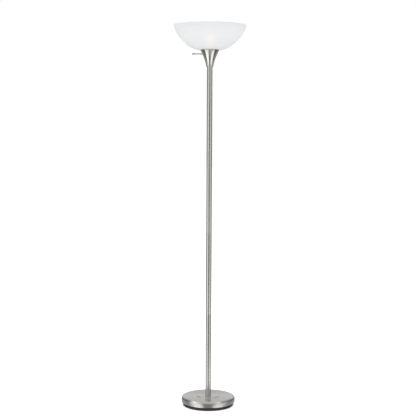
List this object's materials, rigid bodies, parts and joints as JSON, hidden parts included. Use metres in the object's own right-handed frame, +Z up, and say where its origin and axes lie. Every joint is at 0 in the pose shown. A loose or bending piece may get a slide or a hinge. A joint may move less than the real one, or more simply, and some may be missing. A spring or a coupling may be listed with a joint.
{
  "type": "torchiere floor lamp",
  "caption": "Tall uplight floor lamp: weighted round steel base, slim screwed pole, trumpet cup with a side rotary switch and an open frosted glass bowl over a screw-cap bulb.",
  "frame": {"origin": "on the floor, under the pole's axis at the middle of the base", "axes": "+Z up along the pole; -Y is the front, so +Y is the rear with the cord outlet; the rotary switch stem points along -X"},
  "size_m": [0.343, 0.343, 1.814],
  "materials": {
    "brushed_steel": "satin brushed nickel-look steel, grain around the turned pieces",
    "pole_steel": "satin brushed steel tube, grain along the tube",
    "cup_steel": "spun satin steel, grain around the cup",
    "black_iron": "black enamelled cast iron",
    "black_felt": "dark felt",
    "black_rubber": "matt black rubber",
    "zinc_steel": "zinc plated",
    "lead_vinyl": "soft black vinyl",
    "frosted_glass": "white frosted glass, satin outside",
    "gasket_clear": "translucent grey plastic",
    "fibre": "pressed fibre",
    "white_plastic": "white moulded thermoset plastic",
    "brass": "plain brass",
    "brown_plastic": "brown moulded plastic",
    "knob_steel": "satin steel, fluted",
    "bulb_frost": "inside-frosted bulb glass, lit warm white",
    "bulb_metal": "plain aluminium, rolled thread",
    "black_glass": "black insulating glass",
    "clear_glass": "clear glass",
    "tungsten": "drawn wire"
  },
  "bodies": {
    "lamp": {"floor_pad": "black_felt", "base_weight": "black_iron", "base_cover": "brushed_steel", "cord_bushing": "black_rubber", "base_stud": "zinc_steel", "base_washer": "zinc_steel", "base_spring_washer": "zinc_steel", "base_nut": "zinc_steel", "foot_washer": "zinc_steel", "pole_section_1": "pole_steel", "pole_section_2": "pole_steel", "pole_section_3": "pole_steel", "pole_section_4": "pole_steel", "pole_foot_insert": "zinc_steel", "pole_socket_1": "zinc_steel", "pole_socket_2": "zinc_steel", "pole_socket_3": "zinc_steel", "pole_screw_1": "zinc_steel", "pole_screw_2": "zinc_steel", "pole_screw_3": "zinc_steel", "pole_top_insert": "zinc_steel", "inner_lead": "lead_vinyl", "cup_nipple": "zinc_steel", "trumpet_cup": "cup_steel", "cup_washer": "zinc_steel", "cup_spring_washer": "zinc_steel", "cup_nut": "zinc_steel", "lower_gasket": "gasket_clear", "glass_bowl": "frosted_glass", "upper_gasket": "fibre", "shade_ring": "white_plastic", "socket_cap": "brass", "socket_skirt": "white_plastic", "socket_core": "white_plastic", "socket_liner": "fibre", "screw_shell": "brass", "centre_contact": "brass", "terminal_screws": "brass", "switch_bushing": "zinc_steel"},
    "switch": {"switch_rotor": "brown_plastic", "switch_stem": "knob_steel", "switch_knob": "knob_steel"},
    "bulb": {"bulb_glass": "bulb_frost", "bulb_cap": "bulb_metal", "bulb_insulator": "black_glass", "bulb_contact": "bulb_metal", "bulb_mount": "clear_glass", "bulb_filament": "tungsten"}
  },
  "joints": [
    {"name": "switch_turn", "type": "hinge", "parent": "lamp", "child": "switch", "pos_m": [-0.02, 0, 1.6785], "axis": [-1, 0, 0], "continuous": true},
    {"name": "bulb_lift", "type": "slide", "parent": "lamp", "child": "bulb", "axis": [0, 0, 1], "range_m": [0, 0.13]}
  ]
}
